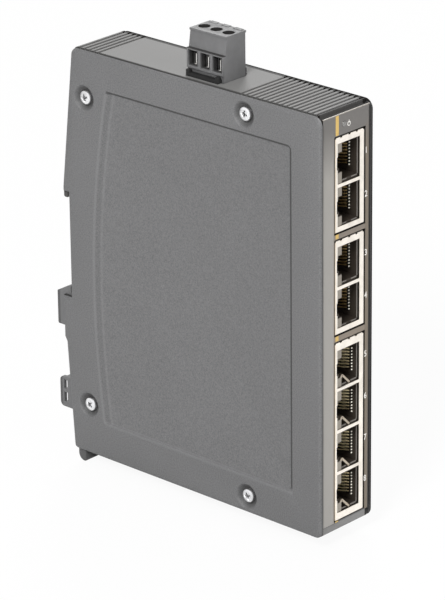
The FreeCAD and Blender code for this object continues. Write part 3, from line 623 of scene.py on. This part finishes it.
foil = bevelled(merged_copy("front_label", "front_foil"), 0.00006, 1)
finished(foil, foil_print("foil_print"), "case")
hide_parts("front_label")


def inked(name, shade, rough=0.45):
    """A raised layer of print with a slightly uneven edge to its colour."""
    finish, tone, place = new_finish(name)
    fine = grain(tone, place, 3000.0, 2.0)
    worn = tuple(x * 0.8 for x in shade)
    close_finish(tone, {
        "Base Color": fine.ramp(0.45, 0.8).blend(shade, worn),
        "Roughness": (rough + (fine - 0.5) * 0.2).held(),
        "Normal": relief(tone, fine, 0.1, 0.00002),
    })
    return finish


def picked(piece, chosen):
    """Goes into edit mode with the vertices that chosen picks."""
    alone(piece)
    bpy.ops.object.mode_set(mode="EDIT")
    bpy.ops.mesh.select_mode(type="VERT")
    bpy.ops.mesh.select_all(action="DESELECT")
    shell = bmesh.from_edit_mesh(piece.data)
    for vertex in shell.verts:
        vertex.select = chosen(vertex.co)
    shell.select_flush_mode()
    bmesh.update_edit_mesh(piece.data)


def resized(piece, chosen, factors, centre):
    """Scales the chosen vertices from the centre."""
    picked(piece, chosen)
    bpy.ops.transform.resize(value=factors, center_override=centre)
    bpy.ops.object.mode_set(mode="OBJECT")


white_ink = inked("white_ink", (0.8, 0.78, 0.74))
gold_ink = inked("gold_ink", (0.62, 0.42, 0.12), 0.3)
print_y = foil_low.y
print_thick = 0.00003
digit_size, digit_width, digit_weight = 0.0028, 0.88, 0.00003
digit_x = 0.009
upper_rise, lower_rise = 0.001, 0.0014
sockets = [m for m in frame["record"]["mounts"] if m["name"].startswith("socket_")]
marks = []
for socket in sockets:
    bpy.ops.object.select_all(action="DESELECT")
    bpy.ops.object.text_add(location=(0.0, 0.0, 0.0))
    digit = named("digit")
    digit.data.body = socket["name"].split("_")[1]
    digit.data.size = digit_size
    digit.data.offset = digit_weight
    digit.data.align_x = "CENTER"
    digit.data.align_y = "CENTER"
    digit.data.extrude = print_thick
    alone(digit)
    bpy.ops.object.convert(target="MESH")
    narrow = Matrix.Scale(digit_width, 4, (1.0, 0.0, 0.0))
    stand = Matrix.Rotation(math.radians(90.0), 4, "X") @ narrow
    level = socket["pos_m"][2]
    rise = lower_rise if level < -0.01 else upper_rise
    digit.data.transform(Matrix.Translation((digit_x, print_y, level + rise)) @ stand)
    marks.append(digit)

# The mark beside the lamp is a ring of print with a stroke across its top.
ring_radius, ring_line = 0.00062, 0.00013
stroke_half, stroke_foot, stroke_top = 0.00012, 0.0002, 0.0012
ring_centre = (0.0011, print_y, foil_high.z - 0.004)
bpy.ops.object.select_all(action="DESELECT")
bpy.ops.mesh.primitive_torus_add(
    major_radius=ring_radius, minor_radius=ring_line, major_segments=32, minor_segments=8,
    location=ring_centre, rotation=(math.radians(90.0), 0.0, 0.0)
)
power_ring = applied(named("power_ring"))
resized(power_ring, lambda at: True, (1.0, 0.25, 1.0), ring_centre)
marks.append(power_ring)
x, y, z = ring_centre
stroke_low = (x - stroke_half, print_y - print_thick, z + stroke_foot)
marks.append(bar("power_stroke", stroke_low, (x + stroke_half, print_y, z + stroke_top)))
white_marks = bevelled(joined(marks, "white_marks"), 0.0)
finished(white_marks, white_ink, "case")

# The gold stripe runs down the foil beside the sockets, and stops short at each gang.
gangs = [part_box("jack_shield_%d" % n) for n in (1, 2, 3)]
levels = [foil_high.z] + [z for low, high in gangs for z in (high.z, low.z)] + [foil_low.z]
stripe_left, stripe_right = -0.005, -0.0036
first_gap, upper_gap, lower_gap, last_gap = 0.0003, 0.0005, 0.0008, 0.0004
stripes = []
for number in range(0, len(levels), 2):
    upper = levels[number] - (first_gap if number == 0 else upper_gap)
    lower = levels[number + 1] + (last_gap if number + 2 == len(levels) else lower_gap)
    low, high = (stripe_left, print_y - print_thick, lower), (stripe_right, print_y, upper)
    stripes.append(bar("stripe", low, high))
gold_stripe = bevelled(joined(stripes, "gold_stripe"), 0.00001, 1)
finished(gold_stripe, gold_ink, "case")


# The supply lamp.
# A clear moulded light pipe carries the light of the small lamp on the board to the front. It is
# dark and slightly milky while the supply is off.
def clear_moulding(name, shade, rough):
    """Milky clear plastic, dark behind."""
    finish, tone, place = new_finish(name)
    cloud = grain(tone, place, 900.0, 2.0)
    close_finish(tone, {
        "Base Color": cloud.ramp(0.3, 0.8).blend(shade, tuple(x * 0.75 for x in shade)),
        "Roughness": (rough + (cloud - 0.5) * 0.2).held(),
        "Coat Weight": (0.6 + (cloud - 0.5) * 0.3).held(),
        "Normal": relief(tone, cloud, 0.1, 0.00003),
    })
    return finish


def dressed(node, finish):
    """Gives a solid that is shown as it is another finish."""
    for place in frame["nodes"][node].material_slots:
        place.material = finish


pipe = bevelled(merged_copy("light_pipe", "lamp_pipe"), 0.00008)
finished(pipe, clear_moulding("milky_clear", (0.2, 0.195, 0.185), 0.25), "case")
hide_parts("light_pipe")
dressed("power_led", clear_moulding("lamp_body", (0.62, 0.6, 0.5), 0.3))


# The socket gangs.
# Three rows of shielded sockets stand on the board. The shields are folded from tinned brass
# sheet, the bodies are black moulded plastic, and eight gold-plated springs lie in each socket.
def tinned_sheet(name, shade, edge_shade, rough, front):
    """Tinned sheet whose cut edges show the brass, with painted shade on all that lies behind its
    front face.
    """
    finish, tone, place = new_finish(name)
    across, along, height = axes_of(tone, place)
    behind = (along - front - 0.0002).ramp(0.0, 0.0001)
    stretched = tone.node(
        "ShaderNodeMapping", {}, {"Vector": place, "Scale": (500.0, 500.0, 5000.0)}
    )
    lines = grain(tone, stretched, 1.0, 3.0)
    cloud = grain(tone, place, 300.0, 3.0)
    side = (-0.0045 - across).ramp(0.0, 0.0002) * 0.6
    cut = (worn_edge(tone, 0.00012) * cloud.ramp(0.3, 0.6) + side).held()
    plain = cloud.ramp(0.4, 0.8).blend(shade, tuple(x * 0.78 for x in shade))
    sheet = (cut * 0.6).blend(plain, edge_shade)
    close_finish(tone, {
        # Painted shade on all that lies behind the front face.
        "Base Color": (behind * 0.85).blend(sheet, (0.2, 0.18, 0.15)),
        "Metallic": 0.85,
        "Roughness": (rough + (cloud - 0.5) * 0.25 + (lines - 0.5) * 0.12).held(),
        "Normal": relief(tone, lines, 0.12, 0.00002),
    })
    return finish


def smooth_plastic(name, shade, rough, gloss=0.3, painted_shade=None):
    """Plain moulded plastic with a faint flow pattern, with painted shade where the shade mask
    says.
    """
    finish, tone, place = new_finish(name)
    flow = grain(tone, place, 500.0, 3.0)
    fine = grain(tone, place, 4000.0, 2.0)
    rubbed = worn_edge(tone, 0.0002) * flow.ramp(0.35, 0.7)
    spread = ((flow - 0.5) * 0.6 + (fine - 0.5) * 0.15 + 0.5).held()
    base = spread.blend(tuple(x * 0.8 for x in shade), tuple(min(1.0, x * 1.2) for x in shade))
    colour = (rubbed * 0.4).blend(base, tuple(min(1.0, x * 1.8 + 0.01) for x in shade))
    # Painted shade: the colour goes to near black where the shade mask says.
    if painted_shade:
        colour = painted_shade(*axes_of(tone, place)).blend(colour, painted_shade_colour)
    close_finish(tone, {
        "Base Color": colour,
        "Specular IOR Level": gloss,
        "Roughness": (rough + (fine - 0.5) * 0.2 - rubbed * 0.1).held(),
        "Normal": relief(tone, fine, 0.1, 0.00003),
    })
    return finish


def shifted(piece, chosen, step):
    """Moves the chosen vertices by the step."""
    picked(piece, chosen)
    bpy.ops.transform.translate(value=step)
    bpy.ops.object.mode_set(mode="OBJECT")


def spring_shade(reach):
    """The front of the springs, up to the reach, lies in the dark of their pocket."""
    return lambda across, along, height: (spring_front + reach - along).ramp(-0.0001, 0.0001)


shield_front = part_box("jack_shield_1")[0].y
shield_tin = tinned_sheet("shield_tin", (0.98, 0.92, 0.835), (0.6, 0.42, 0.18), 0.38, shield_front)
socket_black = smooth_plastic("socket_black", (0.04, 0.032, 0.025), 0.45)
spring_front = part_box("jack_contacts_1")[0].y
drawing = (4000.0, 900.0, 4000.0)
# Two copies of the same gold: the springs of the upper two gangs are darker as painted shade,
# those of the third gang brighter as a painted highlight.
spring_gold = plated_metal(
    "spring_gold", (0.42, 0.29, 0.13), 0.35, drawing, 0.7, spring_shade(0.0013), True
)
lower_gold = plated_metal(
    "lower_gold", (1.0, 0.86, 0.54), 0.42, drawing, 0.7, spring_shade(0.0006), True
)

sheet_depth = 0.0007
window_half = 0.00585
window_left = (-0.0036, -0.0009)
short_step, long_step = 0.0004, 0.0008
left_step = 0.0005
socket_levels = [socket["pos_m"][2] for socket in sockets]
third_row = socket_levels[4:]


def drawn_windows(shield, number):
    """Draws in the sheet between two windows, and lets the windows reach further left."""
    low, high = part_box("jack_shield_%d" % number)
    inside = [z for z in socket_levels if low.z < z < high.z]
    rear = shield_front + sheet_depth
    for level in inside:
        drop = short_step if number == 3 or level == min(inside) else long_step
        rise = long_step if number == 3 and level != max(inside) else short_step
        for edge, step in ((level - window_half, -drop), (level + window_half, rise)):
            shifted(
                shield, lambda at: abs(at.z - edge) < 0.00003 and at.y < rear, (0.0, 0.0, step)
            )
    start, end = window_left
    shifted(shield, lambda at: start < at.x < end and at.y < rear, (-left_step, 0.0, 0.0))
    return shield


for number in (1, 2, 3):
    shield = drawn_windows(merged_copy("jack_shield_%d" % number, "shield_%d" % number), number)
    shield = bevelled(shield, 0.00005, 1)
    finished(shield, shield_tin, "case")
    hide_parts("jack_shield_%d" % number)
    body = bevelled(merged_copy("jack_body_%d" % number, "socket_body_%d" % number), 0.00008, 1)
    finished(body, socket_black, "case")
    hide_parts("jack_body_%d" % number)
    dressed("jack_contacts_%d" % number, lower_gold if number == 3 else spring_gold)

# A thin lip stands round the right and lower side of each body's opening, inside the shield. Its
# light grey is a painted highlight on the edge of the black body.
body_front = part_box("jack_body_1")[0].y
lip_rear, lip_front = body_front + 0.0002, body_front - 0.00004
lip_x, lip_width = 0.006, 0.00038
lip_half, foot_height = 0.0058, 0.0004
foot_spans = ((-0.001, 0.0012), (0.0034, 0.006))
foot_drop, third_row_foot_drop = 0.0063, 0.0061
lips = []
for level in socket_levels:
    right_low = (lip_x, lip_front, level - lip_half)
    right = bar("lip", right_low, (lip_x + lip_width, lip_rear, level + lip_half))
    foot = level - (third_row_foot_drop if level in third_row else foot_drop)
    for start, end in foot_spans:
        lips.append(bar("lip", (start, lip_front, foot), (end, lip_rear, foot + foot_height)))
    lips.append(right)
socket_lips = bevelled(joined(lips, "socket_lips"), 0.00003, 1)
finished(socket_lips, smooth_plastic("lip_grey", (0.2, 0.185, 0.17), 0.4), "case")

# A folded ground spring of the shield reaches into the lower left of each socket of the third row.
ground_corners = [(-0.0034, -0.0056), (-0.0011, -0.0026), (0.0023, -0.0060)]
ground_half_width, ground_half_thick = 0.0007, 0.00036
ground_depth = 0.0011
grounds = []
for level in third_row:
    for (x0, z0), (x1, z1) in zip(ground_corners, ground_corners[1:]):
        length = math.hypot(x1 - x0, z1 - z0)
        low = (0.0, -ground_half_width, -ground_half_thick)
        leg = bar("ground_leg", low, (length, ground_half_width, ground_half_thick))
        lie = Matrix.Translation((x0, shield_front + ground_depth, level + z0))
        tilt = Matrix.Rotation(-math.atan2(z1 - z0, x1 - x0), 4, "Y")
        leg.data.transform(lie @ tilt)
        grounds.append(leg)
ground_springs = bevelled(joined(grounds, "ground_springs"), 0.00005, 1)
ground_brass = plated_metal("ground_brass", (0.52, 0.45, 0.36), 0.35, (900.0, 900.0, 5000.0))
finished(ground_springs, ground_brass, "case")

# The bend at the front of each spring is a rounded bead, near white and matt as a painted glint.
bend_radius, bend_shape = 0.0003, (1.1, 0.8, 0.85)
bend_rise = 0.00021
bend_from_side = 0.00135
bend_depth, third_row_bend_depth = 0.00375, 0.00255
least_spring_pitch = 0.0005
bpy.ops.object.select_all(action="DESELECT")
bpy.ops.mesh.primitive_uv_sphere_add(segments=12, ring_count=8, radius=bend_radius)
bend = applied(named("spring_bend"))
resized(bend, lambda at: True, bend_shape, (0.0, 0.0, 0.0))
bends = []
bend_levels = []
for number in (1, 2, 3):
    springs = frame["nodes"]["jack_contacts_%d" % number].data.vertices
    x = max(v.co.x for v in springs) - bend_from_side
    y = shield_front + (third_row_bend_depth if number == 3 else bend_depth)
    for level in sorted({round(v.co.z, 5) for v in springs}):
        if all(abs(level - other) > least_spring_pitch for other in bend_levels):
            bend_levels.append(level)
            lie = Matrix.Translation((x, y, level + bend_rise))
            bends.append(moved_copy(bend, "bend", lie))
bpy.data.objects.remove(bend)
spring_bends = bevelled(joined(bends, "spring_bends"), 0.0, smooth=60.0)
bright_gold = inked("bright_gold", (1.0, 0.96, 0.84), 0.2)
finished(spring_bends, bright_gold, "case")


# The supply terminal.
# The header is soldered in the board and stands through the top of the case. The plug in it is
# moulded in the same grey plastic; steel cages, strips and screws in it clamp three wires.
plug_low, plug_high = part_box("plug_housing")
pole_ys = [sum(p.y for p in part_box("clamp_screw_%d" % n)) / 2.0 for n in (1, 2, 3)]
pole_across = sum(p.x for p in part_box("clamp_screw_1")) / 2.0
plug_crown = plug_high.z - 0.00045
plug_ledge = cover_top + 0.0084
wire_window_z, wire_window_half = cover_top + 0.0053, 0.0026
bore_radius = 0.0026


def plug_shade(across, along, height):
    """Painted shade in the deep wire windows, in the screw holes and in the seam above the ledge
    of the wire side.
    """
    wire_side = (plug_low.x + 0.0013 - across).ramp(0.0, 0.0001)
    seam = height.band(plug_ledge + 0.00015, 0.0001, 0.00008) * wire_side
    window = height.band(wire_window_z, wire_window_half, 0.0001)
    window = window * (across - plug_low.x - 0.0002).ramp(0.0, 0.0003)
    deep = window * (0.0004 - (across - plug_low.x - 0.003).unsigned()).ramp(-0.0025, -0.0015)
    below_crown = (plug_crown - 0.00005 - height).ramp(0.0, 0.0001)
    screwed = below_crown * (height - plug_ledge - 0.0006).ramp(0.0, 0.0002)
    nearest = None
    for y in pole_ys:
        away = far_from(along, across, y, pole_across)
        nearest = away if nearest is None else nearest.least(away)
    bores = screwed * (bore_radius - nearest).ramp(0.0, 0.0001)
    half = (plug_high.y - plug_low.y) / 2.0 - 0.0003
    inside = along.band((plug_low.y + plug_high.y) / 2.0, half, 0.0001)
    return (seam * 0.85 + (bores * 0.9 + deep * 0.7) * inside).held()


along_screw, along_strip = (3000.0, 3000.0, 500.0), (500.0, 3000.0, 3000.0)
terminal_grey = smooth_plastic("terminal_grey", (0.15, 0.15, 0.152), 0.45, painted_shade=plug_shade)
header_grey = smooth_plastic("header_grey", (0.022, 0.022, 0.022), 0.55, gloss=0.15)
cage_steel = plated_metal("cage_steel", (0.16, 0.16, 0.155), 0.45, along_screw)
# The clamp screws' near black is painted shade over plated steel, as they sit deep in their holes.
screw_dark = plated_metal("screw_dark", (0.05, 0.05, 0.05), 0.5, along_screw)
strip_tin = plated_metal("strip_tin", (0.7, 0.68, 0.64), 0.35, along_strip)

# The mouths of the three screw holes are drawn in, and the ramps behind them are low.
mouth_reach, mouth_share = 0.0025, 0.8
ramp_share = 0.4
plug = merged_copy("plug_housing", "plug_body")
for y in pole_ys:
    axis = Vector((pole_across, y, plug_crown))
    resized(
        plug, lambda at: abs(at.z - plug_crown) < 0.0001 and (at - axis).length < mouth_reach,
        (mouth_share, mouth_share, 1.0), axis
    )
crown = (0.0, 0.0, plug_crown)
resized(plug, lambda at: at.z > plug_crown + 0.0002, (1.0, 1.0, ramp_share), crown)
plug = bevelled(plug, 0.00012)
finished(plug, terminal_grey, "supply_plug")
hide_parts("plug_housing")
header = bevelled(merged_copy("terminal_header", "header_body"), 0.0001)
finished(header, header_grey, "case")
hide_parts("terminal_header")
dressed("header_pins", strip_tin)
dressed("plug_contacts", strip_tin)

# The bright folded edge of the clamping strip shows in each wire window.
fold_x, fold_rear_x = plug_low.x + 0.0011, plug_low.x + 0.0015
fold_foot, fold_knee, fold_end = cover_top + 0.0033, cover_top + 0.0036, cover_top + 0.0069
fold_left, fold_bend, fold_right = 0.0006, 0.0003, 0.0003
folds = []
for y in pole_ys:
    upright = ((fold_x, y - fold_left, fold_knee), (fold_rear_x, y - fold_bend, fold_end))
    foot = ((fold_x, y - fold_left, fold_foot), (fold_rear_x, y + fold_right, fold_knee))
    folds += [bar("fold", *upright), bar("fold", *foot)]
strip_folds = bevelled(joined(folds, "strip_folds"), 0.00006, 1)
fold_tin = plated_metal("fold_tin", (0.85, 0.83, 0.8), 0.3, along_strip)
finished(strip_folds, fold_tin, "supply_plug")
for number in (1, 2, 3):
    cage = bevelled(merged_copy("clamp_cage_%d" % number, "cage_%d_body" % number), 0.00006)
    finished(cage, cage_steel, "cage_%d" % number)
    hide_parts("clamp_cage_%d" % number)
    screw = bevelled(merged_copy("clamp_screw_%d" % number, "screw_%d_body" % number), 0.00008)
    finished(screw, screw_dark, "screw_%d" % number)
    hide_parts("clamp_screw_%d" % number)


# The rail latch and its spring.
# A moulded slide behind the case snaps under the rail. A wire spring between the slide and a peg
# of the ring pushes it up, and a screwdriver in the eye of its foot pulls it down.
latch_low, latch_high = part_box("din_latch")
latch_foot = 0.0066
latch_rear = 0.0011


def latch_shade(across, along, height):
    """Painted shade on the latch's rearmost edges and on its foot."""
    rear = (along - latch_high.y + latch_rear).ramp(-0.0001, 0.0001) * 0.45
    return (rear + (latch_low.z + latch_foot - height).ramp(0.0, 0.0005) * 0.4).held()


latch_grey = smooth_plastic("latch_grey", (0.15, 0.15, 0.152), 0.5, painted_shade=latch_shade)
latch = bevelled(merged_copy("din_latch", "rail_slide"), 0.00025)
finished(latch, latch_grey, "rail_latch")
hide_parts("din_latch")
spring_wire = plated_metal("spring_wire", (0.55, 0.55, 0.56), 0.3, (900.0, 900.0, 6000.0))
dressed("latch_spring", spring_wire)


# The circuit board and its parts.
# A green laminate board screwed into the ring, with resin chips, drawn cans and wound parts. It
# shows only through the gaps, but each part has its own finish.
def laminate(name):
    """Green lacquered laminate with raised tracks over a fine weave."""
    finish, tone, place = new_finish(name)
    cells = tone.node(
        "ShaderNodeTexVoronoi", {"distance": "MANHATTAN"}, {"Vector": place, "Scale": 420.0}
    )
    tracks = cells.ramp(0.16, 0.2)
    weave = grain(tone, place, 2500.0, 2.0)
    green = tracks.blend((0.03, 0.14, 0.06), (0.012, 0.075, 0.03))
    close_finish(tone, {
        "Base Color": (weave.ramp(0.5, 0.9) * 0.3).blend(green, (0.05, 0.16, 0.07)),
        "Roughness": (0.38 + (weave - 0.5) * 0.2).held(),
        "Normal": relief(tone, tracks * 0.6 + weave * 0.4, 0.3, 0.00004),
    })
    return finish


chip_resin = smooth_plastic("chip_resin", (0.03, 0.03, 0.032), 0.6)
can_metal = plated_metal("can_metal", (0.72, 0.72, 0.73), 0.3, (900.0, 900.0, 5000.0))
dressed("circuit_board", laminate("board_laminate"))
dressed("board_screws", screw_steel)
for node in ["switch_chip", "regulator", "inductor"] + ["magnetics_%d" % n for n in (1, 2, 3, 4)]:
    dressed(node, chip_resin)
for node in ("crystal", "capacitor_1", "capacitor_2"):
    dressed(node, can_metal)
dressed("fuse", smooth_plastic("fuse_ceramic", (0.62, 0.6, 0.52), 0.35))


# The camera and the studio.
# A long lens looks at the left front corner from a little above. A strong soft lamp hangs at the
# left, a broad one stands in front and a weak one at the right rear, over a plain pale floor.
eye = bpy.data.cameras.new("eye")
eye.lens = 227.4386
eye.sensor_width = 36.0
eye.sensor_fit = "AUTO"
camera = bpy.data.objects.new("camera", eye)
camera.location = (-0.807277, -0.799866, 0.436492)
camera.rotation_euler = (1.186102, 0.010101, -0.829885)
bpy.context.scene.collection.objects.link(camera)
bpy.context.scene.camera = camera


def soft_lamp(name, place, target, width, watts):
    """A square soft light that looks at the target."""
    light = bpy.data.lights.new(name, "AREA")
    light.shape = "SQUARE"
    light.size = width
    light.energy = watts
    lamp = bpy.data.objects.new(name, light)
    lamp.location = place
    lamp.rotation_euler = (Vector(target) - Vector(place)).to_track_quat("-Z", "Y").to_euler()
    bpy.context.scene.collection.objects.link(lamp)


centre = (0.0, -0.05, 0.0)
soft_lamp("key_lamp", (0.62, 0.46, 0.66), centre, 0.35, 3.5)
soft_lamp("side_lamp", (-0.85, -0.4, 0.8), centre, 0.3, 11.0)
soft_lamp("front_lamp", (0.05, -1.3, 0.25), centre, 0.6, 5.5)

studio = bpy.data.worlds.new("studio")
studio.use_nodes = True
studio.node_tree.nodes.clear()
air = Tone(studio.node_tree)
seen = air.node("ShaderNodeLightPath", output="Is Camera Ray")
mirrored = air.node("ShaderNodeLightPath", output="Is Glossy Ray")
through = air.node("ShaderNodeLightPath", output="Is Transmission Ray")
open_view = seen.most(mirrored).most(through)
white = (1.0, 1.0, 1.0, 1.0)
dim = air.node("ShaderNodeBackground", {}, {"Color": white, "Strength": 0.35})
bright = air.node("ShaderNodeBackground", {}, {"Color": white, "Strength": 1.0})
sky = air.node("ShaderNodeMixShader", {}, {0: open_view, 1: dim, 2: bright})
air.node("ShaderNodeOutputWorld", {}, {"Surface": sky})
bpy.context.scene.world = studio

# The floor lies just under the part and looks plain white to the camera.
floor_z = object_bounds()[0][2] - 0.0001
bpy.ops.object.select_all(action="DESELECT")
bpy.ops.mesh.primitive_plane_add(size=6.0, location=(0.0, 0.0, floor_z))
floor = named("floor")
floor_finish, tone, place = new_finish("floor_white")
seen = tone.node("ShaderNodeLightPath", output="Is Camera Ray")
matt = tone.node("ShaderNodeBsdfDiffuse", {}, {"Color": (0.93, 0.93, 0.93, 1.0)})
glow = tone.node("ShaderNodeEmission", {}, {"Color": white, "Strength": 1.0})
share = seen * 0.93
both = tone.node("ShaderNodeMixShader", {}, {0: share, 1: matt, 2: glow})
tone.node("ShaderNodeOutputMaterial", {}, {"Surface": both})
floor.data.materials.append(floor_finish)

bpy.context.scene.view_settings.view_transform = "Standard"
